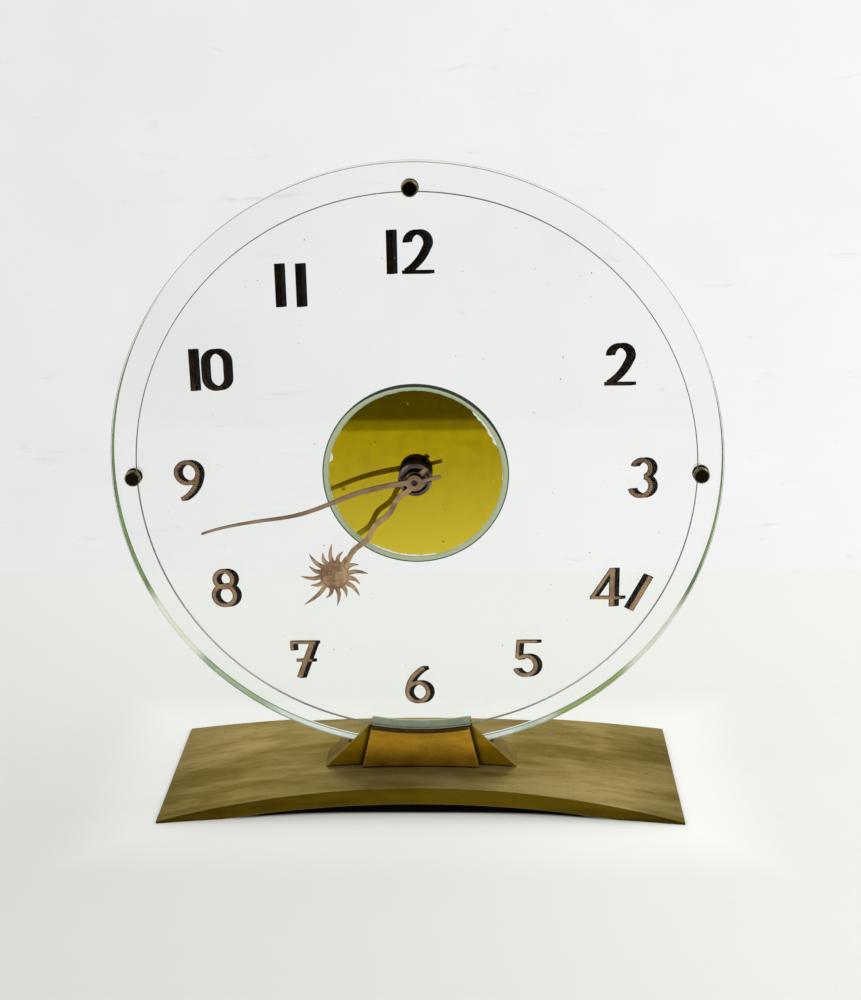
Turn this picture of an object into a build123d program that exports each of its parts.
import os
from math import asin, cos, degrees, radians, sin, sqrt, tau

from build123d import *

# Mystery clock on an arched brass foot. Millimetres, +Z up, front towards -Y.
# The origin is on the table, under the middle of the foot.
# Places along Y grow from the front of the clock to its back.

# Two glass discs, the numbers and the mirror between them
dial_radius = 120.0
dial_thickness = 8.0
dial_seat_height = 17.2
dial_back_y = 0.0
dial_edge_chamfer = 0.5
cover_margin = 10.3
cover_thickness = 1.4
cover_edge_chamfer = 0.2
glass_gap = 0.8
mirror_radius = 36.5
mirror_thickness = 0.6

# Arched foot
base_width = 212.4
base_depth = 79.7
base_waist = 8.0
base_crown_height = 11.9
base_end_height = 1.0
arch_span = 160.0
arch_rise = 4.5

# Socket that holds the thick disc
socket_foot_width = 79.8
socket_shoulder_width = 42.4
jaw_thickness = 1.3
jaw_gap = 0.3
rear_jaw_drop = 2.6
slot_clearance = 0.2
slot_pad_thickness = 0.8
slot_pad_width = 54.0
slot_lip_width = 41.2
slot_pad_rise = 2.3
slot_pad_drop = 2.0
slot_pad_corner = 1.0
panel_foot_width = 48.4
panel_top_width = 40.4
panel_thickness = 2.8
panel_chamfer = 0.5
socket_screw_spacing = 26.0
socket_screw_radius = 2.0
socket_screw_head_radius = 3.8
socket_screw_head_height = 2.2
socket_screw_grip = 3.4
screw_clearance = 0.05

# Three spool posts that carry the front glass at 12, 3 and 9, closed by round cap nuts
post_outset = 1.1
post_angles = (0.0, 90.0, 180.0)
post_shank_radius = 2.0
post_shank_inset = 0.4
post_collar_radius = 3.3
post_neck_radius = 1.0
post_neck_grip = 1.4
post_washer_radius = 2.6
post_washer_thickness = 0.3
post_nut_radius = 3.1
post_nut_length = 2.2
post_nut_chamfer = 0.5
post_clearance = 0.1

# Numbers: a raised copper face on a dark backing that stands out to its right and top
numeral_ring_inset = 20.7
numeral_ring_drop = 1.5
numeral_backing_thickness = 0.35
numeral_face_thickness = 0.25
numeral_height = 16.4
numeral_rim = 0.15
shade_right = 1.75
shade_up = 0.7
bar_stroke = 2.1
curve_stroke = 1.7
thin_stroke = 1.3
zero_width = 10.2
# Shift of each figure of a pair, in halves of the height
numeral_pairs = {
    10: [("1", -0.85), ("0", 0.21)],
    11: [("1", -0.49), ("1", 0.47)],
    12: [("1", -0.88), ("2", 0.31)],
}
# How far the glued numbers sit from their places on the ring, to the right and up
numeral_nudges = {2: (1.7, 0.9), 4: (-0.6, -1.4), 7: (-2.0, -0.2), 8: (-0.2, -1.3), 11: (-0.9, -0.2)}
fallen_one_bearing = -29.5
fallen_one_outset = 13.3
fallen_one_turn = -27.6

# Hands, at the time that the clock shows
minute_hand_length = 86.2
minute_hand_bearing = 256.2
minute_hub_radius = 3.1
minute_hub_width = 2.2
minute_tip_width = 0.9
minute_sway = 1.6
minute_tail_length = 10.4
minute_tail_width = 1.4
hour_hand_bearing = 219.9
hour_hub_radius = 3.9
hour_stem_width = 2.1
hour_stem_sway = 0.62
hour_stem_period = 13.9
hour_stem_dip = 9.9
hour_tail_length = 7.2
hour_tail_width = 2.0
sun_reach = 50.5
sun_radius = 6.0
sun_ray_count = 16
long_ray_reach = 13.2
short_ray_reach = 10.6
pointer_ray_reach = 18.0
pointer_ray_lean = -3.0
ray_root_width = 2.0
ray_sway = 0.7
hand_thickness = 0.6
hand_spacing = 1.3

# Centre of the dial: threaded bush, ring nut and the two pipes
bush_radius = 5.0
bush_flange_radius = 8.0
bush_reach = 4.9
centre_hole_clearance = 0.3
nut_radius = 6.6
nut_thickness = 5.4
nut_chamfer = 0.8
nut_slot_width = 1.4
nut_slot_depth = 1.2
nut_washer_radius = 6.0
nut_washer_thickness = 0.4
hour_pipe_radius = 3.35
cannon_pipe_radius = 2.0
centre_arbor_radius = 1.2
pipe_clearance = 0.05
nut_to_hand = 0.6
arbor_tip_recess = 0.3

# Movement case
gasket_thickness = 0.8
gasket_inner_radius = 19.0
case_radius = 26.0
case_wall = 1.2
case_depth = 21.2
cover_plate_thickness = 1.2
cover_rim_depth = 1.6
cover_rim_clearance = 0.1
lug_radius = 2.0
lug_depth = 1.4
lug_angles = (75.0, 165.0, 345.0)
cover_screw_radius = 0.9
cover_screw_head_radius = 1.8
cover_screw_head_height = 0.9
cover_screw_slot = 0.5

# Movement plates
plate_radius = 23.2
plate_thickness = 1.2
plate_gap = 10.8
motion_space = 3.5
pillar_circle_radius = 20.6
pillar_angles = (20.0, 125.0, 225.0, 320.0)
pillar_radius = 1.6
pillar_pin_radius = 1.0
pillar_nut_radius = 1.8
pillar_nut_thickness = 1.3

# Wheels: teeth, module and bearings from each arbor to the next
tooth_addendum = 0.85
tooth_dedendum = 1.15
tooth_root_share = 0.30
tooth_tip_share = 0.12
barrel_teeth = 60
centre_pinion_leaves = 12
barrel_module = 0.32
barrel_bearing = -90.0
centre_teeth = 60
third_pinion_leaves = 10
centre_module = 0.30
third_bearing = 60.0
third_teeth = 50
fourth_pinion_leaves = 10
third_module = 0.30
fourth_bearing = 170.0
fourth_teeth = 48
escape_pinion_leaves = 8
fourth_module = 0.28
escape_bearing = 200.0
cannon_leaves = 12
minute_wheel_teeth = 36
cannon_module = 0.30
minute_wheel_bearing = 150.0
minute_pinion_leaves = 10
hour_wheel_teeth = 40
wheel_thickness = 0.7
pinion_thickness = 1.1
arbor_radius = 0.6
arbor_clearance = 0.05
wheel_spoke_count = 5
wheel_spoke_width = 0.9
wheel_rim_width = 0.9
wheel_hub_radius = 2.3

# Layers of the wheels, measured back from the inside of the front plate
escape_layer = 0.7
fourth_layer = 2.8
balance_layer = 3.9
third_layer = 5.8
hairspring_layer = 6.4
barrel_layer = 1.8
barrel_drum_length = 5.5
barrel_rim_thickness = 1.2
centre_layer = 9.2
hour_wheel_lift = 0.3
motion_wheel_gap = 0.4

# Mainspring barrel
barrel_drum_radius = 8.8
barrel_drum_wall = 0.6
barrel_arbor_radius = 1.5
mainspring_inner_radius = 2.2
mainspring_half_turns = 12
mainspring_strip = 0.35
mainspring_end_gap = 0.3
mainspring_hook_gap = 0.05
ratchet_teeth = 20
ratchet_radius = 5.0
ratchet_depth = 0.7
ratchet_thickness = 0.8
ratchet_lift = 0.5

# Escapement
escape_teeth = 15
escape_radius = 4.0
escape_tooth_depth = 1.3
escape_tooth_lean = 9.0
escape_thickness = 0.5
lever_distance = 5.2
lever_bearing = 235.0
lever_thickness = 0.5
lever_stroke = 0.6
pallet_reach = 4.7
pallet_spread = 32.0
fork_length = 5.1
balance_distance = 7.4
balance_bearing = 250.0
balance_radius = 6.4
balance_rim_width = 1.0
balance_thickness = 1.2
balance_arm_width = 1.1
balance_staff_radius = 0.5
roller_radius = 1.5
roller_thickness = 0.5
hairspring_inner_radius = 0.9
hairspring_pitch = 0.7
hairspring_half_turns = 10
hairspring_strip = 0.16
hairspring_height = 0.6
hairspring_stud_radius = 0.45

# Setting knob and winding key at the back
back_control_gap = 0.8
knob_radius = 5.4
knob_length = 6.0
knob_flute_count = 20
knob_flute_depth = 0.45
key_hub_radius = 2.7
key_wing_span = 19.0
key_wing_depth = 7.5
key_wing_thickness = 1.5
key_wing_hole_radius = 1.7
key_grip_depth = 5.0

# Places across the dial that follow from the sizes above
dial_centre_height = dial_seat_height + dial_radius
cover_radius = dial_radius - cover_margin
post_circle_radius = cover_radius + post_outset
numeral_ring_radius = cover_radius - numeral_ring_inset

# Places along Y that follow from the sizes above
dial_front_y = dial_back_y - dial_thickness
cover_back_y = dial_front_y - glass_gap
cover_front_y = cover_back_y - cover_thickness
jaw_inner_y = cover_front_y - slot_clearance
jaw_front_y = jaw_inner_y - jaw_thickness
jaw_slot_back_y = dial_back_y + slot_clearance + slot_pad_thickness
jaw_back_y = jaw_slot_back_y + jaw_thickness
nut_back_y = cover_front_y - nut_washer_thickness
nut_front_y = nut_back_y - nut_thickness
bush_front_y = cover_front_y - bush_reach + nut_chamfer
hour_hand_back_y = nut_front_y - nut_to_hand
hour_hand_front_y = hour_hand_back_y - hand_thickness
minute_hand_back_y = hour_hand_front_y - hand_spacing
minute_hand_front_y = minute_hand_back_y - hand_thickness
arbor_front_y = minute_hand_front_y + arbor_tip_recess
case_front_y = dial_back_y + gasket_thickness
case_inner_y = case_front_y + case_wall
case_back_y = case_front_y + case_depth
front_plate_y = case_inner_y + motion_space
train_front_y = front_plate_y + plate_thickness
back_plate_y = train_front_y + plate_gap
plates_back_y = back_plate_y + plate_thickness
cover_plate_back_y = case_back_y + cover_plate_thickness
control_front_y = cover_plate_back_y + back_control_gap
knob_back_y = control_front_y + knob_length
hour_wheel_y = case_inner_y + hour_wheel_lift
cannon_gear_y = hour_wheel_y + wheel_thickness + motion_wheel_gap

pieces = {}


def dial_plane(y, at=(0.0, 0.0), turn=0.0):
    # Sketch plane across the dial at depth y: x to the right, y up, facing the front
    origin = (at[0], y, dial_centre_height + at[1])
    x_dir = (cos(radians(turn)), 0, sin(radians(turn)))
    return Plane(origin=origin, x_dir=x_dir, z_dir=(0, -1, 0))


def polar(distance, angle, start=(0.0, 0.0)):
    return (start[0] + distance * cos(radians(angle)), start[1] + distance * sin(radians(angle)))


def keep(name, part):
    part.label = name
    pieces[name] = part


# Crown of the foot: one circle across the width, which the socket also stands on
base_half = base_width / 2
crown_rise = base_crown_height - base_end_height
crown_radius = (base_half**2 + crown_rise**2) / (2 * crown_rise)


def crown_height(x):
    return base_crown_height - crown_radius + sqrt(crown_radius**2 - x**2)


def below_dial(radius, x):
    # Height above the dial's middle of the lower half of a circle about that middle
    return -sqrt(radius**2 - x**2)


# Foot
socket_middle_y = (jaw_front_y + jaw_back_y) / 2
screw_places = [(side * socket_screw_spacing / 2, socket_middle_y) for side in (-1, 1)]
screw_seat_height = crown_height(socket_screw_spacing / 2) - socket_screw_grip

with BuildPart() as base_plate:
    with BuildSketch(Plane.XZ) as arch_section:
        with BuildLine():
            ThreePointArc((-base_half, base_end_height), (0, base_crown_height), (base_half, base_end_height))
            Line((base_half, base_end_height), (base_half, 0))
            Line((base_half, 0), (arch_span / 2, 0))
            ThreePointArc((arch_span / 2, 0), (0, arch_rise), (-arch_span / 2, 0))
            Line((-arch_span / 2, 0), (-base_half, 0))
            Line((-base_half, 0), (-base_half, base_end_height))
        make_face()
    extrude(amount=base_depth / 2, both=True)
    with BuildSketch(Plane.XY) as waisted_plan:
        with BuildLine():
            half_depth = base_depth / 2
            ThreePointArc((-base_half, -half_depth), (0, base_waist - half_depth), (base_half, -half_depth))
            Line((base_half, -half_depth), (base_half, half_depth))
            ThreePointArc((base_half, half_depth), (0, half_depth - base_waist), (-base_half, half_depth))
            Line((-base_half, half_depth), (-base_half, -half_depth))
        make_face()
    extrude(amount=base_crown_height, mode=Mode.INTERSECT)
    with BuildSketch(Plane.XY):
        with Locations(*screw_places):
            Circle(socket_screw_radius + screw_clearance)
    extrude(amount=base_crown_height, mode=Mode.SUBTRACT)
    with BuildSketch(Plane.XY):
        with Locations(*screw_places):
            Circle(socket_screw_head_radius + screw_clearance)
    extrude(amount=screw_seat_height, mode=Mode.SUBTRACT)
keep("base_plate", base_plate.part)

# Socket: two thin jaws standing on the crown, the front one with sloped wings
jaw_radius = cover_radius + jaw_gap
rear_jaw_radius = jaw_radius + rear_jaw_drop
foot_half = socket_foot_width / 2
shoulder_half = socket_shoulder_width / 2
foot_level = crown_height(foot_half) - dial_centre_height
crown_level = base_crown_height - dial_centre_height
shoulder_level = below_dial(jaw_radius, shoulder_half)
slot_radius = dial_radius + slot_pad_thickness
screw_tip_height = dial_centre_height + below_dial(slot_radius, 0) - slot_clearance


def panel_outline():
    # The jaw's hollow on top, the crown of the foot below
    foot = panel_foot_width / 2
    top = panel_top_width / 2
    foot_z = crown_height(foot) - dial_centre_height
    top_z = below_dial(jaw_radius, top)
    with BuildSketch() as outline:
        with BuildLine():
            ThreePointArc((-foot, foot_z), (0, crown_level), (foot, foot_z))
            Line((foot, foot_z), (top, top_z))
            ThreePointArc((top, top_z), (0, -jaw_radius), (-top, top_z))
            Line((-top, top_z), (-foot, foot_z))
        make_face()
    return outline.sketch


def rear_panel_outline():
    # Lower on top than the front one, so that it stays out of sight
    with BuildSketch() as outline:
        add(panel_outline())
        Circle(rear_jaw_radius, mode=Mode.SUBTRACT)
    return outline.sketch


with BuildPart() as socket_block:
    with BuildSketch(dial_plane(jaw_back_y)) as jaw_outline:
        with BuildLine():
            ThreePointArc((-foot_half, foot_level), (0, crown_level), (foot_half, foot_level))
            Line((foot_half, foot_level), (shoulder_half, shoulder_level))
            ThreePointArc((shoulder_half, shoulder_level), (0, -jaw_radius), (-shoulder_half, shoulder_level))
            Line((-shoulder_half, shoulder_level), (-foot_half, foot_level))
        make_face()
    extrude(amount=jaw_back_y - jaw_front_y)
    with BuildSketch(dial_plane(jaw_slot_back_y)) as dial_slot:
        Circle(slot_radius)
    extrude(amount=jaw_slot_back_y - jaw_inner_y, mode=Mode.SUBTRACT)
    with BuildSketch(dial_plane(jaw_back_y)) as rear_wings:
        Circle(slot_radius)
        add(rear_panel_outline(), mode=Mode.SUBTRACT)
    extrude(amount=jaw_thickness, mode=Mode.SUBTRACT)
    with BuildSketch(Plane.XY):
        with Locations(*screw_places):
            Circle(socket_screw_radius + screw_clearance)
    extrude(amount=screw_tip_height, mode=Mode.SUBTRACT)
keep("socket_block", socket_block.part)


# Soft packing round the foot of the thick glass: a strip below it and a lip on either side
def packing_strip(inner_radius, width):
    with BuildSketch() as strip:
        Circle(slot_radius)
        Circle(inner_radius, mode=Mode.SUBTRACT)
        with Locations((0, -slot_radius / 2)):
            Rectangle(width, slot_radius, mode=Mode.INTERSECT)
    return strip.sketch


front_lip_y = dial_front_y - slot_clearance
with BuildPart() as slot_pad:
    with BuildSketch(dial_plane(jaw_slot_back_y)):
        add(packing_strip(dial_radius, slot_pad_width))
    extrude(amount=jaw_slot_back_y - jaw_inner_y)
    with BuildSketch(dial_plane(front_lip_y)):
        add(packing_strip(jaw_radius + slot_pad_drop, panel_top_width))
    extrude(amount=front_lip_y - jaw_inner_y)
    with BuildSketch(dial_plane(jaw_slot_back_y)) as rear_lip:
        add(packing_strip(rear_jaw_radius - slot_pad_rise, slot_lip_width))
        fillet(rear_lip.vertices().group_by(Axis.Y)[-1], radius=slot_pad_corner)
    extrude(amount=slot_pad_thickness)
keep("slot_pad", slot_pad.part)


def clamp_panel(back_y, outline):
    with BuildPart() as panel:
        with BuildSketch(dial_plane(back_y)):
            add(outline)
        extrude(amount=panel_thickness)
    return panel.part


with BuildPart() as front_panel:
    add(clamp_panel(jaw_front_y, panel_outline()))
    front_face = front_panel.faces().sort_by(Axis.Y)[0]
    chamfer(front_face.edges().filter_by(GeomType.LINE), length=panel_chamfer)
keep("front_panel", front_panel.part)

with BuildPart() as rear_panel:
    add(clamp_panel(jaw_back_y + panel_thickness, rear_panel_outline()))
    rear_face = rear_panel.faces().sort_by(Axis.Y)[-1]
    chamfer(rear_face.edges().filter_by(GeomType.LINE), length=panel_chamfer)
keep("rear_panel", rear_panel.part)

# Two screws up through the foot into the socket
with BuildPart() as socket_screws:
    with BuildSketch(Plane.XY.offset(screw_seat_height)):
        with Locations(*screw_places):
            Circle(socket_screw_radius)
    extrude(amount=screw_tip_height - screw_seat_height - screw_clearance)
    with BuildSketch(Plane.XY.offset(screw_seat_height)):
        with Locations(*screw_places):
            Circle(socket_screw_head_radius)
    extrude(amount=-socket_screw_head_height)
    with BuildSketch(Plane.XY.offset(screw_seat_height - socket_screw_head_height)):
        with Locations(*screw_places):
            Rectangle(2 * socket_screw_head_radius, socket_screw_radius / 2)
    extrude(amount=socket_screw_head_height / 2, mode=Mode.SUBTRACT)
keep("socket_screws", socket_screws.part)

# Thick dial glass and thin front glass
post_places = [polar(post_circle_radius, angle) for angle in post_angles]
centre_hole_radius = bush_radius + centre_hole_clearance

with BuildPart() as dial_glass:
    with BuildSketch(dial_plane(dial_back_y)):
        Circle(dial_radius)
    extrude(amount=dial_thickness)
    chamfer(dial_glass.edges().filter_by(GeomType.CIRCLE), length=dial_edge_chamfer)
    with BuildSketch(dial_plane(dial_back_y)):
        Circle(centre_hole_radius)
        with Locations(*post_places):
            Circle(post_shank_radius + post_clearance)
    extrude(amount=dial_thickness, mode=Mode.SUBTRACT)
keep("dial_glass", dial_glass.part)

with BuildPart() as front_glass:
    with BuildSketch(dial_plane(cover_back_y)):
        Circle(cover_radius)
    extrude(amount=cover_thickness)
    chamfer(front_glass.edges().filter_by(GeomType.CIRCLE), length=cover_edge_chamfer)
    with BuildSketch(dial_plane(cover_back_y)):
        Circle(centre_hole_radius)
        with Locations(*post_places):
            Circle(post_neck_radius + post_clearance)
    extrude(amount=cover_thickness, mode=Mode.SUBTRACT)
keep("front_glass", front_glass.part)

with BuildPart() as mirror_disc:
    with BuildSketch(dial_plane(dial_front_y)):
        Circle(mirror_radius)
        Circle(centre_hole_radius, mode=Mode.SUBTRACT)
    extrude(amount=mirror_thickness)
keep("mirror_disc", mirror_disc.part)


# Spool posts set in the thick glass, with soft washers and cap nuts in front of the thin one
def post_step(start_y, end_y, radius):
    with BuildPart() as steps:
        for at in post_places:
            with BuildSketch(dial_plane(end_y, at)):
                Circle(radius)
            extrude(amount=end_y - start_y)
    return steps.part


post_nut_back_y = cover_front_y - post_washer_thickness
post_nut_front_y = post_nut_back_y - post_nut_length
neck_front_y = post_nut_back_y - post_neck_grip
collar_front_y = cover_back_y + post_clearance

with BuildPart() as glass_posts:
    add(post_step(dial_front_y, dial_back_y - post_shank_inset, post_shank_radius))
    add(post_step(collar_front_y, dial_front_y, post_collar_radius))
    add(post_step(neck_front_y, collar_front_y, post_neck_radius))
keep("glass_posts", glass_posts.part)

with BuildPart() as post_washers:
    with BuildSketch(dial_plane(cover_front_y)):
        with Locations(*post_places):
            Circle(post_washer_radius)
            Circle(post_neck_radius + post_clearance, mode=Mode.SUBTRACT)
    extrude(amount=post_washer_thickness)
keep("post_washers", post_washers.part)

with BuildPart() as post_nuts:
    add(post_step(post_nut_front_y, post_nut_back_y, post_nut_radius))
    front_rims = post_nuts.edges().filter_by(GeomType.CIRCLE).group_by(Axis.Y)[0]
    chamfer(front_rims, length=post_nut_chamfer)
    add(post_step(neck_front_y, post_nut_back_y, post_neck_radius), mode=Mode.SUBTRACT)
keep("post_nuts", post_nuts.part)

# Figures drawn as strokes about the middle of a figure, on a grid of half its height
digit_strokes = {
    "0": [],
    "1": [("line", (0, -1), (0, 1), bar_stroke)],
    "2": [
        ("arc", (0, 0.43), 0.47, 180, -215, curve_stroke),
        ("bow", (0.385, 0.16), (0.05, -0.40), (-0.47, -0.86), curve_stroke),
        ("line", (-0.62, -0.92), (0.62, -0.92), thin_stroke),
    ],
    "3": [
        ("arc", (-0.02, 0.48), 0.42, 165, -235, curve_stroke),
        ("arc", (-0.05, -0.41), 0.49, 70, -235, curve_stroke),
    ],
    "4": [
        ("line", (0.25, 1), (0.25, -1), bar_stroke),
        ("line", (0.18, 0.92), (-0.70, -0.50), thin_stroke),
        ("line", (-0.80, -0.54), (0.69, -0.54), thin_stroke),
    ],
    "5": [
        ("line", (-0.48, 0.92), (0.52, 0.92), thin_stroke),
        ("line", (-0.40, 1), (-0.46, 0.02), thin_stroke),
        ("arc", (-0.05, -0.38), 0.52, 135, -295, curve_stroke),
    ],
    "6": [
        ("ring", (0, -0.38), 0.52, curve_stroke),
        ("bow", (0.34, 0.96), (-0.28, 0.40), (-0.52, -0.38), curve_stroke),
    ],
    "7": [
        ("line", (-0.62, 0.92), (0.64, 0.92), thin_stroke),
        ("line", (-0.54, 1), (-0.54, 0.48), thin_stroke),
        ("line", (0.50, 0.97), (-0.24, -1), bar_stroke),
        ("line", (-0.34, -0.06), (0.44, -0.06), thin_stroke),
    ],
    "8": [
        ("ring", (0, 0.47), 0.43, curve_stroke),
        ("ring", (0, -0.38), 0.52, curve_stroke),
    ],
    "9": [
        ("ring", (0, 0.38), 0.52, curve_stroke),
        ("bow", (-0.34, -0.96), (0.28, -0.40), (0.52, 0.38), curve_stroke),
    ],
}


def ring(middle, reach, width):
    with BuildSketch() as band:
        with Locations(middle):
            Circle(reach + width / 2)
            Circle(reach - width / 2, mode=Mode.SUBTRACT)
    return band.sketch


def figure(digit, rim=0.0):
    # One figure, with every stroke grown by the rim on all sides
    half = numeral_height / 2
    with BuildSketch() as art:
        if digit == "0":
            hollow = 2 * curve_stroke + 2 * rim
            SlotOverall(numeral_height + 2 * rim, zero_width + 2 * rim, rotation=90)
            SlotOverall(numeral_height - hollow, zero_width - hollow, rotation=90, mode=Mode.SUBTRACT)
        for kind, *shape, width in digit_strokes[digit]:
            if kind == "ring":
                add(ring(Vector(*shape[0]) * half, shape[1] * half, width + 2 * rim))
                continue
            with BuildLine():
                if kind == "line":
                    start, end = (Vector(*point) * half for point in shape)
                    along = (end - start).normalized() * rim
                    Line(start - along, end + along)
                elif kind == "arc":
                    middle, reach, start, sweep = shape
                    lead = degrees(rim / (reach * half)) * sweep / abs(sweep)
                    CenterArc(Vector(*middle) * half, reach * half, start - lead, sweep + 2 * lead)
                else:
                    ThreePointArc(*(Vector(*point) * half for point in shape))
            trace(line_width=width + 2 * rim)
    return art.sketch


def numeral(digits, place, turn=0.0):
    # digits is a list of figures, each with its shift in halves of the height
    half = numeral_height / 2
    with BuildPart() as plate:
        with BuildSketch(dial_plane(dial_front_y, place, turn)):
            for digit, shift in digits:
                for share in (0, 1):
                    with Locations((shift * half + share * shade_right, share * shade_up)):
                        add(figure(digit, numeral_rim))
        extrude(amount=numeral_backing_thickness)
        with BuildSketch(dial_plane(dial_front_y - numeral_backing_thickness, place, turn)):
            for digit, shift in digits:
                with Locations((shift * half, 0)):
                    add(figure(digit))
        extrude(amount=numeral_face_thickness)
    return plate.part


for hour in range(2, 13):
    figures = numeral_pairs.get(hour, [(str(hour), 0.0)])
    nudge = numeral_nudges.get(hour, (0.0, 0.0))
    start = (nudge[0] - shade_right / 2, nudge[1] - shade_up / 2 - numeral_ring_drop)
    keep(f"numeral_{hour}", numeral(figures, polar(numeral_ring_radius, 90 - 30 * hour, start)))
# The 1 has come loose and lies upside down beside the 4
fallen_one_at = polar(numeral_ring_radius + fallen_one_outset, fallen_one_bearing)
keep("numeral_1", numeral([("1", 0.0)], fallen_one_at, fallen_one_turn + 180))

# Bush through both glasses, with its washer and ring nut
with BuildPart() as centre_bush:
    with BuildSketch(dial_plane(case_inner_y)):
        Circle(bush_radius)
    extrude(amount=case_inner_y - bush_front_y)
    with BuildSketch(dial_plane(case_front_y)):
        Circle(bush_flange_radius)
    extrude(amount=case_front_y - dial_back_y)
    with BuildSketch(dial_plane(case_inner_y)):
        Circle(hour_pipe_radius + pipe_clearance)
    extrude(amount=case_inner_y - bush_front_y, mode=Mode.SUBTRACT)
keep("centre_bush", centre_bush.part)

with BuildPart() as nut_washer:
    with BuildSketch(dial_plane(cover_front_y)):
        Circle(nut_washer_radius)
        Circle(bush_radius + screw_clearance, mode=Mode.SUBTRACT)
    extrude(amount=nut_washer_thickness)
keep("nut_washer", nut_washer.part)

with BuildPart() as hand_nut:
    with BuildSketch(dial_plane(nut_back_y)):
        Circle(nut_radius)
    extrude(amount=nut_thickness)
    chamfer(hand_nut.edges().filter_by(GeomType.CIRCLE).sort_by(Axis.Y)[0], length=nut_chamfer)
    with BuildSketch(dial_plane(nut_back_y)):
        Circle(bush_radius + screw_clearance)
    extrude(amount=nut_thickness, mode=Mode.SUBTRACT)
    with BuildSketch(dial_plane(nut_front_y)):
        Rectangle(2 * nut_radius, nut_slot_width)
    extrude(amount=-nut_slot_depth, mode=Mode.SUBTRACT)
keep("hand_nut", hand_nut.part)


# Hands: drawn along their own length, with x towards the tip
def hand_plane(y, bearing):
    return dial_plane(y, turn=90 - bearing)


# Each flame of the sun: share of its length, share of the sway, share of the root's width
ray_course = [(0.0, 0.0, 1.0), (0.4, 1.0, 0.74), (0.74, 0.2, 0.44), (1.0, -0.9, 0.0)]


def ray_edge(angle, reach, side):
    root = sun_radius - ray_root_width / 4
    points = []
    for share, sway, width in ray_course:
        distance = root + (reach - root) * share
        across = sway * ray_sway + side * width * ray_root_width / 2
        points.append(polar(distance, angle + degrees(across / distance)))
    return points


def wavy_ray(angle, reach):
    left = ray_edge(angle, reach, 1)
    right = ray_edge(angle, reach, -1)
    with BuildSketch() as ray:
        with BuildLine():
            Spline(*right)
            Spline(*left[::-1])
            Line(left[0], right[0])
        make_face()
    return ray.sketch


# Rippled stem of the hour hand, with four points to a ripple
stem_end = sun_reach - sun_radius / 2
stem_steps = round(4 * stem_end / hour_stem_period)


def stem_edge(side):
    points = []
    for step in range(stem_steps + 1):
        x = stem_end * step / stem_steps
        sway = -hour_stem_sway * cos(tau * (x - hour_stem_dip) / hour_stem_period)
        points.append((x, sway + side * hour_stem_width / 2))
    return points


with BuildPart() as hour_hand:
    with BuildSketch(hand_plane(hour_hand_back_y, hour_hand_bearing)) as hour_outline:
        Circle(hour_hub_radius)
        with BuildLine():
            upper = stem_edge(1)
            lower = stem_edge(-1)
            Spline(*upper)
            Line(upper[-1], lower[-1])
            Spline(*lower[::-1])
            Line(lower[0], upper[0])
        make_face()
        with Locations((-hour_tail_length / 2, 0)):
            Rectangle(hour_tail_length, hour_tail_width)
        with Locations((sun_reach, 0)):
            Circle(sun_radius)
            for ray_index in range(sun_ray_count):
                ray_angle = ray_index * 360 / sun_ray_count
                if ray_index == 0:
                    ray_angle = pointer_ray_lean
                    ray_reach = pointer_ray_reach
                elif ray_index % 2 == 0:
                    ray_reach = long_ray_reach
                else:
                    ray_reach = short_ray_reach
                add(wavy_ray(ray_angle, ray_reach))
        Circle(cannon_pipe_radius + 2 * pipe_clearance, mode=Mode.SUBTRACT)
    extrude(amount=hand_thickness)
keep("hour_hand", hour_hand.part)

# Course of the minute hand: share of its length, share of the sway
minute_sways = [
    (0.0, -0.2), (0.15, -0.88), (0.28, -0.68), (0.39, 0.15), (0.57, 1.0),
    (0.69, 0.44), (0.8, -0.08), (0.91, -0.28), (1.0, 0.0),
]


def minute_edge(side):
    points = []
    for share, sway in minute_sways:
        half = (minute_hub_width + (minute_tip_width - minute_hub_width) * share) / 2
        points.append((share * minute_hand_length, sway * minute_sway + side * half))
    return points


with BuildPart() as minute_hand:
    with BuildSketch(hand_plane(minute_hand_back_y, minute_hand_bearing)) as minute_outline:
        Circle(minute_hub_radius)
        with BuildLine():
            Spline(*minute_edge(1))
            Line(minute_edge(1)[-1], minute_edge(-1)[-1])
            Spline(*minute_edge(-1)[::-1])
            Line(minute_edge(-1)[0], minute_edge(1)[0])
        make_face()
        with Locations((-minute_tail_length / 2, 0)):
            Rectangle(minute_tail_length, minute_tail_width)
        Circle(centre_arbor_radius, mode=Mode.SUBTRACT)
    extrude(amount=hand_thickness)
keep("minute_hand", minute_hand.part)

# Arbor places across the dial, found from the pitch circles of each pair
barrel_distance = barrel_module * (barrel_teeth + centre_pinion_leaves) / 2
third_distance = centre_module * (centre_teeth + third_pinion_leaves) / 2
fourth_distance = third_module * (third_teeth + fourth_pinion_leaves) / 2
escape_distance = fourth_module * (fourth_teeth + escape_pinion_leaves) / 2
motion_distance = cannon_module * (cannon_leaves + minute_wheel_teeth) / 2
hour_module = 2 * motion_distance / (minute_pinion_leaves + hour_wheel_teeth)
barrel_at = polar(barrel_distance, barrel_bearing)
third_at = polar(third_distance, third_bearing)
fourth_at = polar(fourth_distance, fourth_bearing, third_at)
escape_at = polar(escape_distance, escape_bearing, fourth_at)
minute_wheel_at = polar(motion_distance, minute_wheel_bearing)
lever_at = polar(lever_distance, lever_bearing, escape_at)
balance_at = polar(balance_distance, balance_bearing, lever_at)


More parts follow.
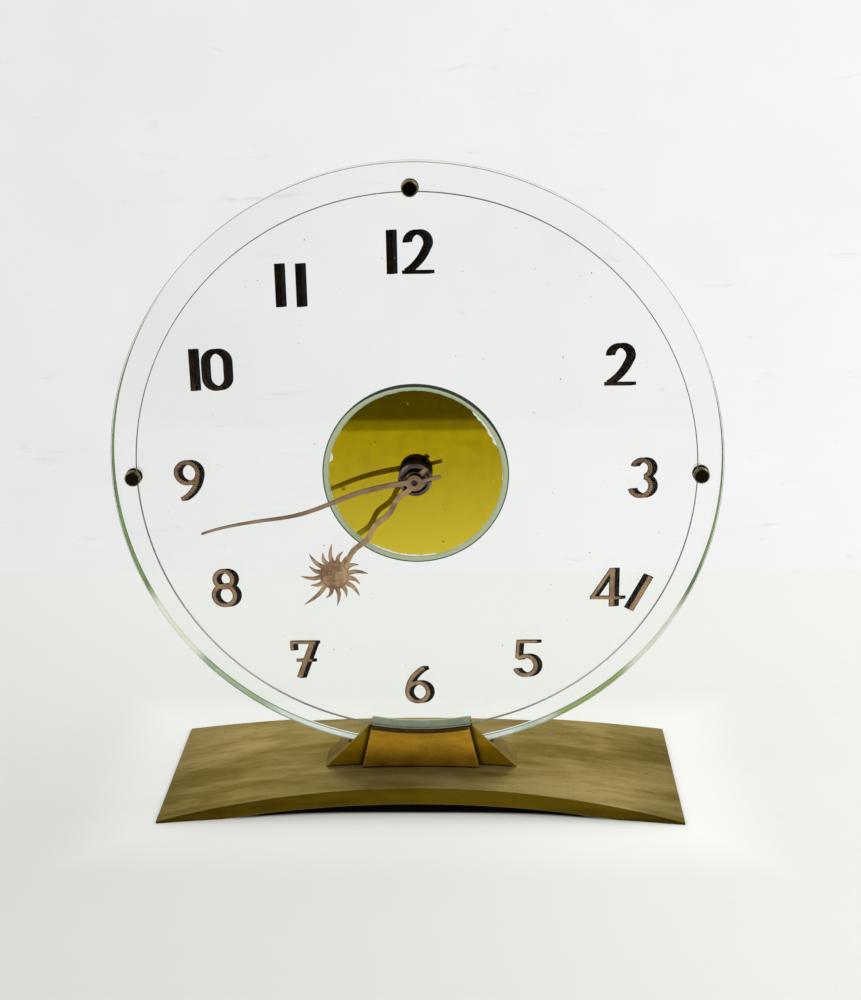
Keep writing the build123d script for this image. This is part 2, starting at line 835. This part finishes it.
def gear_face(teeth, module, tooth_angle):
    # Toothed outline with a tooth centred on tooth_angle
    root = module * (teeth / 2 - tooth_dedendum)
    tip = module * (teeth / 2 + tooth_addendum)
    rising = [(root, -tooth_root_share), (tip, -tooth_tip_share)]
    corners = rising + [(radius, -share) for radius, share in reversed(rising)]
    outline = []
    for tooth in range(teeth):
        for radius, share in corners:
            outline.append(polar(radius, tooth_angle + (tooth + share) * 360 / teeth))
    with BuildSketch() as face:
        with BuildLine():
            Polyline(*outline, close=True)
        make_face()
    return face.sketch


def wheel_face(teeth, module, tooth_angle):
    # Crossed-out wheel: a rim, spokes and a solid middle, with straight-edged windows
    rim = module * (teeth / 2 - tooth_dedendum) - wheel_rim_width
    pitch = 360 / wheel_spoke_count
    hub_side = degrees(asin(wheel_spoke_width / 2 / wheel_hub_radius))
    rim_side = degrees(asin(wheel_spoke_width / 2 / rim))
    with BuildSketch() as face:
        add(gear_face(teeth, module, tooth_angle))
        for spoke in range(wheel_spoke_count):
            start = spoke * pitch
            end = start + pitch
            with BuildLine():
                Polyline(
                    polar(wheel_hub_radius, start + hub_side),
                    polar(rim, start + rim_side),
                    polar(rim, (start + end) / 2),
                    polar(rim, end - rim_side),
                    polar(wheel_hub_radius, end - hub_side),
                    close=True,
                )
            make_face(mode=Mode.SUBTRACT)
    return face.sketch


def facing_gap(bearing, teeth):
    # Tooth angle that puts a gap where the driving tooth comes in
    return bearing + 180 + 180 / teeth


def arbor(at, start_y, end_y, radius):
    with BuildPart() as rod:
        with BuildSketch(dial_plane(end_y, at)):
            Circle(radius)
        extrude(amount=end_y - start_y)
    return rod.part


def toothed(face, at, y, thickness):
    with BuildPart() as disc:
        with BuildSketch(dial_plane(y + thickness, at)):
            add(face)
        extrude(amount=thickness)
    return disc.part


pivot_front_y = front_plate_y + pipe_clearance
pivot_back_y = plates_back_y - pipe_clearance
pinion_lead = (pinion_thickness - wheel_thickness) / 2

# Centre arbor with the pinion that the barrel drives, and the centre wheel on it
barrel_rim_y = train_front_y + barrel_layer + barrel_drum_length
with BuildPart() as centre_arbor:
    add(arbor((0, 0), arbor_front_y, knob_back_y, centre_arbor_radius))
    add(toothed(gear_face(centre_pinion_leaves, barrel_module, barrel_bearing), (0, 0),
                barrel_rim_y, barrel_rim_thickness))
keep("centre_arbor", centre_arbor.part)

centre_wheel_y = train_front_y + centre_layer
with BuildPart() as centre_wheel:
    with BuildSketch(dial_plane(centre_wheel_y + wheel_thickness)):
        add(wheel_face(centre_teeth, centre_module, third_bearing))
        Circle(centre_arbor_radius, mode=Mode.SUBTRACT)
    extrude(amount=wheel_thickness)
keep("centre_wheel", centre_wheel.part)

third_wheel_y = train_front_y + third_layer
with BuildPart() as third_wheel:
    add(arbor(third_at, pivot_front_y, pivot_back_y, arbor_radius))
    leaf_angle = facing_gap(third_bearing, third_pinion_leaves)
    add(toothed(gear_face(third_pinion_leaves, centre_module, leaf_angle),
                third_at, centre_wheel_y - pinion_lead, pinion_thickness))
    add(toothed(wheel_face(third_teeth, third_module, fourth_bearing),
                third_at, third_wheel_y, wheel_thickness))
keep("third_wheel", third_wheel.part)

fourth_wheel_y = train_front_y + fourth_layer
with BuildPart() as fourth_wheel:
    add(arbor(fourth_at, pivot_front_y, pivot_back_y, arbor_radius))
    leaf_angle = facing_gap(fourth_bearing, fourth_pinion_leaves)
    add(toothed(gear_face(fourth_pinion_leaves, third_module, leaf_angle),
                fourth_at, third_wheel_y - pinion_lead, pinion_thickness))
    add(toothed(wheel_face(fourth_teeth, fourth_module, escape_bearing),
                fourth_at, fourth_wheel_y, wheel_thickness))
keep("fourth_wheel", fourth_wheel.part)


def escape_face():
    # Fifteen leaning pointed teeth on a slim rim
    root = escape_radius - escape_tooth_depth
    pitch = 360 / escape_teeth
    outline = []
    for tooth in range(escape_teeth):
        start = tooth * pitch
        outline.append(polar(root, start))
        outline.append(polar(escape_radius, start + escape_tooth_lean))
        outline.append(polar(root, start + pitch / 2))
    with BuildSketch() as face:
        with BuildLine():
            Polyline(*outline, close=True)
        make_face()
    return face.sketch


escape_wheel_y = train_front_y + escape_layer
with BuildPart() as escape_wheel:
    add(arbor(escape_at, pivot_front_y, pivot_back_y, arbor_radius))
    leaf_angle = facing_gap(escape_bearing, escape_pinion_leaves)
    add(toothed(gear_face(escape_pinion_leaves, fourth_module, leaf_angle),
                escape_at, fourth_wheel_y - pinion_lead, pinion_thickness))
    add(toothed(escape_face(), escape_at, escape_wheel_y, escape_thickness))
keep("escape_wheel", escape_wheel.part)

# Pallet lever: two arms round the escape wheel and a fork towards the balance
pallet_tips = [
    polar(pallet_reach, lever_bearing + side * pallet_spread, escape_at) for side in (-1, 1)
]
fork_tip = polar(fork_length, balance_bearing, lever_at)
with BuildPart() as pallet_lever:
    add(arbor(lever_at, pivot_front_y, pivot_back_y, arbor_radius))
    with BuildSketch(dial_plane(escape_wheel_y + lever_thickness)):
        with BuildLine():
            Polyline(pallet_tips[0], lever_at, pallet_tips[1])
        trace(line_width=lever_stroke)
        with BuildLine():
            Line(lever_at, fork_tip)
        trace(line_width=lever_stroke)
        with Locations(fork_tip):
            Circle(lever_stroke)
    extrude(amount=lever_thickness)
keep("pallet_lever", pallet_lever.part)

# Balance with its roller, and the hairspring pinned at its outer end
balance_y = train_front_y + balance_layer
with BuildPart() as balance_wheel:
    add(arbor(balance_at, pivot_front_y, pivot_back_y, balance_staff_radius))
    with BuildSketch(dial_plane(balance_y + balance_thickness, balance_at)):
        Circle(balance_radius)
        Circle(balance_radius - balance_rim_width, mode=Mode.SUBTRACT)
        Rectangle(2 * balance_radius - balance_rim_width, balance_arm_width)
    extrude(amount=balance_thickness)
    with BuildSketch(dial_plane(escape_wheel_y + roller_thickness, balance_at)):
        Circle(roller_radius)
    extrude(amount=roller_thickness)
keep("balance_wheel", balance_wheel.part)


def spiral(inner_radius, pitch, half_turns, strip):
    # Flat spiral of half circles about two middles, half a pitch apart
    with BuildSketch() as coil:
        with BuildLine():
            for turn in range(half_turns):
                middle = (0, 0) if turn % 2 == 0 else (pitch / 2, 0)
                CenterArc(middle, inner_radius + turn * pitch / 2, 180 * (turn % 2), 180)
        trace(line_width=strip)
    return coil.sketch


hairspring_y = train_front_y + hairspring_layer
hairspring_end = hairspring_inner_radius + (hairspring_half_turns - 1) * hairspring_pitch / 2
stud_x = hairspring_end + hairspring_pitch / 2 if hairspring_half_turns % 2 == 0 else -hairspring_end
with BuildPart() as hairspring:
    with BuildSketch(dial_plane(hairspring_y + hairspring_height, balance_at)):
        add(spiral(hairspring_inner_radius, hairspring_pitch, hairspring_half_turns, hairspring_strip))
    extrude(amount=hairspring_height)
    with BuildSketch(dial_plane(back_plate_y, balance_at)):
        with Locations((stud_x, 0)):
            Circle(hairspring_stud_radius)
    extrude(amount=back_plate_y - hairspring_y)
keep("hairspring", hairspring.part)

# Mainspring barrel: a drum whose toothed cover turns the centre pinion
barrel_bore = barrel_arbor_radius + arbor_clearance
with BuildPart() as mainspring_barrel:
    with BuildSketch(dial_plane(barrel_rim_y, barrel_at)):
        Circle(barrel_drum_radius)
    extrude(amount=barrel_drum_length)
    with BuildSketch(dial_plane(barrel_rim_y, barrel_at)):
        Circle(barrel_drum_radius - barrel_drum_wall)
    extrude(amount=barrel_drum_length - barrel_drum_wall, mode=Mode.SUBTRACT)
    add(toothed(gear_face(barrel_teeth, barrel_module, facing_gap(barrel_bearing, barrel_teeth)),
                barrel_at, barrel_rim_y, barrel_rim_thickness))
    with BuildSketch(dial_plane(barrel_rim_y + barrel_rim_thickness, barrel_at)):
        Circle(barrel_bore)
    extrude(amount=barrel_drum_length + barrel_rim_thickness, mode=Mode.SUBTRACT)
keep("mainspring_barrel", mainspring_barrel.part)

# The spring's outer turn lies against the drum's wall
mainspring_outer_radius = barrel_drum_radius - barrel_drum_wall - mainspring_strip / 2 - mainspring_hook_gap
mainspring_pitch = 2 * (mainspring_outer_radius - mainspring_inner_radius) / mainspring_half_turns
with BuildPart() as mainspring:
    with BuildSketch(dial_plane(barrel_rim_y - mainspring_end_gap, barrel_at)):
        add(spiral(mainspring_inner_radius, mainspring_pitch, mainspring_half_turns, mainspring_strip))
    extrude(amount=barrel_drum_length - barrel_drum_wall - 2 * mainspring_end_gap)
keep("mainspring", mainspring.part)

key_grip_y = control_front_y + key_grip_depth
ratchet_y = plates_back_y + ratchet_lift


def ratchet_face():
    outline = []
    for tooth in range(ratchet_teeth):
        outline.append(polar(ratchet_radius, tooth * 360 / ratchet_teeth))
        outline.append(polar(ratchet_radius - ratchet_depth, tooth * 360 / ratchet_teeth))
    with BuildSketch() as face:
        with BuildLine():
            Polyline(*outline, close=True)
        make_face()
    return face.sketch


with BuildPart() as barrel_arbor:
    add(arbor(barrel_at, pivot_front_y, key_grip_y, barrel_arbor_radius))
    add(toothed(ratchet_face(), barrel_at, ratchet_y, ratchet_thickness))
keep("barrel_arbor", barrel_arbor.part)

# Motion work in front of the plates: 12 to 1 between the two pipes
cannon_front_y = cannon_gear_y - pinion_lead
with BuildPart() as cannon_pinion:
    add(arbor((0, 0), minute_hand_back_y, cannon_front_y, cannon_pipe_radius))
    add(toothed(gear_face(cannon_leaves, cannon_module, minute_wheel_bearing), (0, 0),
                cannon_front_y, pinion_thickness))
    with BuildSketch(dial_plane(cannon_front_y + pinion_thickness)):
        Circle(centre_arbor_radius)
    extrude(amount=cannon_front_y + pinion_thickness - minute_hand_back_y, mode=Mode.SUBTRACT)
keep("cannon_pinion", cannon_pinion.part)

stud_bore = arbor_radius + arbor_clearance
with BuildPart() as minute_wheel:
    tooth_angle = facing_gap(minute_wheel_bearing, minute_wheel_teeth)
    leaf_angle = facing_gap(minute_wheel_bearing, minute_pinion_leaves)
    add(toothed(wheel_face(minute_wheel_teeth, cannon_module, tooth_angle),
                minute_wheel_at, cannon_gear_y, wheel_thickness))
    add(toothed(gear_face(minute_pinion_leaves, hour_module, leaf_angle),
                minute_wheel_at, hour_wheel_y, wheel_thickness + motion_wheel_gap))
    with BuildSketch(dial_plane(cannon_gear_y + wheel_thickness, minute_wheel_at)):
        Circle(stud_bore)
    extrude(amount=cannon_gear_y + wheel_thickness - hour_wheel_y, mode=Mode.SUBTRACT)
keep("minute_wheel", minute_wheel.part)

with BuildPart() as hour_wheel:
    add(arbor((0, 0), hour_hand_front_y, hour_wheel_y + wheel_thickness, hour_pipe_radius))
    with BuildSketch(dial_plane(hour_hand_back_y)):
        Circle(hour_pipe_radius)
        Circle(cannon_pipe_radius + 2 * pipe_clearance, mode=Mode.SUBTRACT)
    extrude(amount=hand_thickness, mode=Mode.SUBTRACT)
    add(toothed(gear_face(hour_wheel_teeth, hour_module, minute_wheel_bearing), (0, 0),
                hour_wheel_y, wheel_thickness))
    with BuildSketch(dial_plane(hour_wheel_y + wheel_thickness)):
        Circle(cannon_pipe_radius + pipe_clearance)
    extrude(amount=hour_wheel_y + wheel_thickness - hour_hand_front_y, mode=Mode.SUBTRACT)
keep("hour_wheel", hour_wheel.part)

# Plates, pillars and nuts
train_places = [third_at, fourth_at, escape_at, lever_at]
pillar_places = [polar(pillar_circle_radius, angle) for angle in pillar_angles]


def movement_plate(y):
    with BuildPart() as plate:
        with BuildSketch(dial_plane(y + plate_thickness)):
            Circle(plate_radius)
            Circle(centre_arbor_radius + arbor_clearance, mode=Mode.SUBTRACT)
            with Locations(*train_places):
                Circle(arbor_radius + arbor_clearance, mode=Mode.SUBTRACT)
            with Locations(balance_at):
                Circle(balance_staff_radius + arbor_clearance, mode=Mode.SUBTRACT)
            with Locations(barrel_at):
                Circle(barrel_bore, mode=Mode.SUBTRACT)
            with Locations(*pillar_places):
                Circle(pillar_pin_radius + screw_clearance, mode=Mode.SUBTRACT)
        extrude(amount=plate_thickness)
    return plate.part


with BuildPart() as movement_front_plate:
    add(movement_plate(front_plate_y))
    with BuildSketch(dial_plane(front_plate_y, minute_wheel_at)):
        Circle(arbor_radius)
    extrude(amount=front_plate_y - hour_wheel_y)
keep("movement_front_plate", movement_front_plate.part)

with BuildPart() as movement_back_plate:
    add(movement_plate(back_plate_y))
keep("movement_back_plate", movement_back_plate.part)

# Hexagonal pillars on round pins, in two lengths: case to front plate, and plate to plate
pillar_end_y = plates_back_y + pillar_nut_thickness
with BuildPart() as plate_pillars:
    for start_y, end_y in ((case_inner_y, front_plate_y), (train_front_y, back_plate_y)):
        with BuildSketch(dial_plane(end_y)):
            with Locations(*pillar_places):
                RegularPolygon(pillar_radius, 6)
        extrude(amount=end_y - start_y)
    for at in pillar_places:
        add(arbor(at, case_inner_y, pillar_end_y, pillar_pin_radius))
keep("plate_pillars", plate_pillars.part)

with BuildPart() as pillar_nuts:
    with BuildSketch(dial_plane(pillar_end_y)):
        with Locations(*pillar_places):
            RegularPolygon(pillar_nut_radius, 6)
            Circle(pillar_pin_radius + screw_clearance, mode=Mode.SUBTRACT)
    extrude(amount=pillar_nut_thickness)
keep("pillar_nuts", pillar_nuts.part)

# Drum case, its gasket against the glass, and the rear cover
case_inner_radius = case_radius - case_wall
lug_circle_radius = case_inner_radius - lug_radius / 2
lug_places = [polar(lug_circle_radius, angle) for angle in lug_angles]
lug_back_y = case_back_y - cover_rim_depth

with BuildPart() as case_gasket:
    with BuildSketch(dial_plane(case_front_y)):
        Circle(case_radius)
        Circle(gasket_inner_radius, mode=Mode.SUBTRACT)
    extrude(amount=gasket_thickness)
keep("case_gasket", case_gasket.part)

with BuildPart() as movement_case:
    with BuildSketch(dial_plane(case_back_y)):
        Circle(case_radius)
    extrude(amount=case_depth)
    with BuildSketch(dial_plane(case_back_y)):
        Circle(case_inner_radius)
    extrude(amount=case_depth - case_wall, mode=Mode.SUBTRACT)
    with BuildSketch(dial_plane(lug_back_y)):
        with Locations(*lug_places):
            Circle(lug_radius)
        Circle(case_inner_radius, mode=Mode.INTERSECT)
    extrude(amount=lug_depth)
    with BuildSketch(dial_plane(case_inner_y)):
        Circle(bush_radius)
    extrude(amount=case_wall, mode=Mode.SUBTRACT)
    with BuildSketch(dial_plane(lug_back_y)):
        with Locations(*lug_places):
            Circle(cover_screw_radius + screw_clearance)
    extrude(amount=lug_depth, mode=Mode.SUBTRACT)
keep("movement_case", movement_case.part)

with BuildPart() as rear_cover:
    with BuildSketch(dial_plane(cover_plate_back_y)):
        Circle(case_radius)
    extrude(amount=cover_plate_thickness)
    rear_rim = rear_cover.edges().filter_by(GeomType.CIRCLE).sort_by(Axis.Y)[-1]
    chamfer(rear_rim, length=cover_plate_thickness / 2)
    with BuildSketch(dial_plane(case_back_y)):
        Circle(case_inner_radius - cover_rim_clearance)
    extrude(amount=cover_rim_depth)
    with BuildSketch(dial_plane(case_back_y)):
        Circle(case_inner_radius - cover_rim_clearance - 2 * lug_radius)
    extrude(amount=cover_rim_depth, mode=Mode.SUBTRACT)
    with BuildSketch(dial_plane(cover_plate_back_y)):
        Circle(centre_arbor_radius + cover_rim_clearance)
        with Locations(barrel_at):
            Circle(key_hub_radius + cover_rim_clearance)
        with Locations(*lug_places):
            Circle(cover_screw_radius + screw_clearance)
    extrude(amount=cover_plate_thickness + cover_rim_depth, mode=Mode.SUBTRACT)
keep("rear_cover", rear_cover.part)

with BuildPart() as cover_screws:
    with BuildSketch(dial_plane(cover_plate_back_y)):
        with Locations(*lug_places):
            Circle(cover_screw_radius)
    extrude(amount=cover_plate_thickness + cover_rim_depth + lug_depth)
    with BuildSketch(dial_plane(cover_plate_back_y + cover_screw_head_height)):
        with Locations(*lug_places):
            Circle(cover_screw_head_radius)
    extrude(amount=cover_screw_head_height)
    with BuildSketch(dial_plane(cover_plate_back_y + cover_screw_head_height)):
        with Locations(*lug_places):
            Rectangle(2 * cover_screw_head_radius, cover_screw_slot)
    extrude(amount=cover_screw_head_height / 2, mode=Mode.SUBTRACT)
keep("cover_screws", cover_screws.part)

# Fluted setting knob on the centre arbor, and the winged key on the barrel arbor
def knob_face():
    # Flat ridges with a sharp flute between each pair
    flute = knob_radius - knob_flute_depth
    outline = []
    for ridge in range(knob_flute_count):
        for radius, share in ((knob_radius, -0.25), (knob_radius, 0.25), (flute, 0.5)):
            outline.append(polar(radius, (ridge + share) * 360 / knob_flute_count))
    with BuildSketch() as face:
        with BuildLine():
            Polyline(*outline, close=True)
        make_face()
    return face.sketch


with BuildPart() as setting_knob:
    with BuildSketch(dial_plane(knob_back_y)):
        add(knob_face())
        Circle(centre_arbor_radius, mode=Mode.SUBTRACT)
    extrude(amount=knob_length)
keep("setting_knob", setting_knob.part)

wing_front_y = knob_back_y + back_control_gap
with BuildPart() as winding_key:
    add(arbor(barrel_at, control_front_y, wing_front_y + key_wing_depth / 2, key_hub_radius))
    wing_plane = Plane.XY.offset(dial_centre_height + barrel_at[1] - key_wing_thickness / 2)
    wing_middle_y = wing_front_y + key_wing_depth / 2
    with BuildSketch(wing_plane):
        with Locations((barrel_at[0], wing_middle_y)):
            SlotOverall(key_wing_span, key_wing_depth)
            with GridLocations(key_wing_span - key_wing_depth, 0, 2, 1):
                Circle(key_wing_hole_radius, mode=Mode.SUBTRACT)
    extrude(amount=key_wing_thickness)
    with BuildSketch(dial_plane(key_grip_y, barrel_at)):
        Circle(barrel_arbor_radius)
    extrude(amount=key_grip_y - control_front_y, mode=Mode.SUBTRACT)
keep("winding_key", winding_key.part)

os.makedirs("parts", exist_ok=True)
for name, part in pieces.items():
    export_step(part, f"parts/{name}.step")
print(len(pieces), "pieces written")
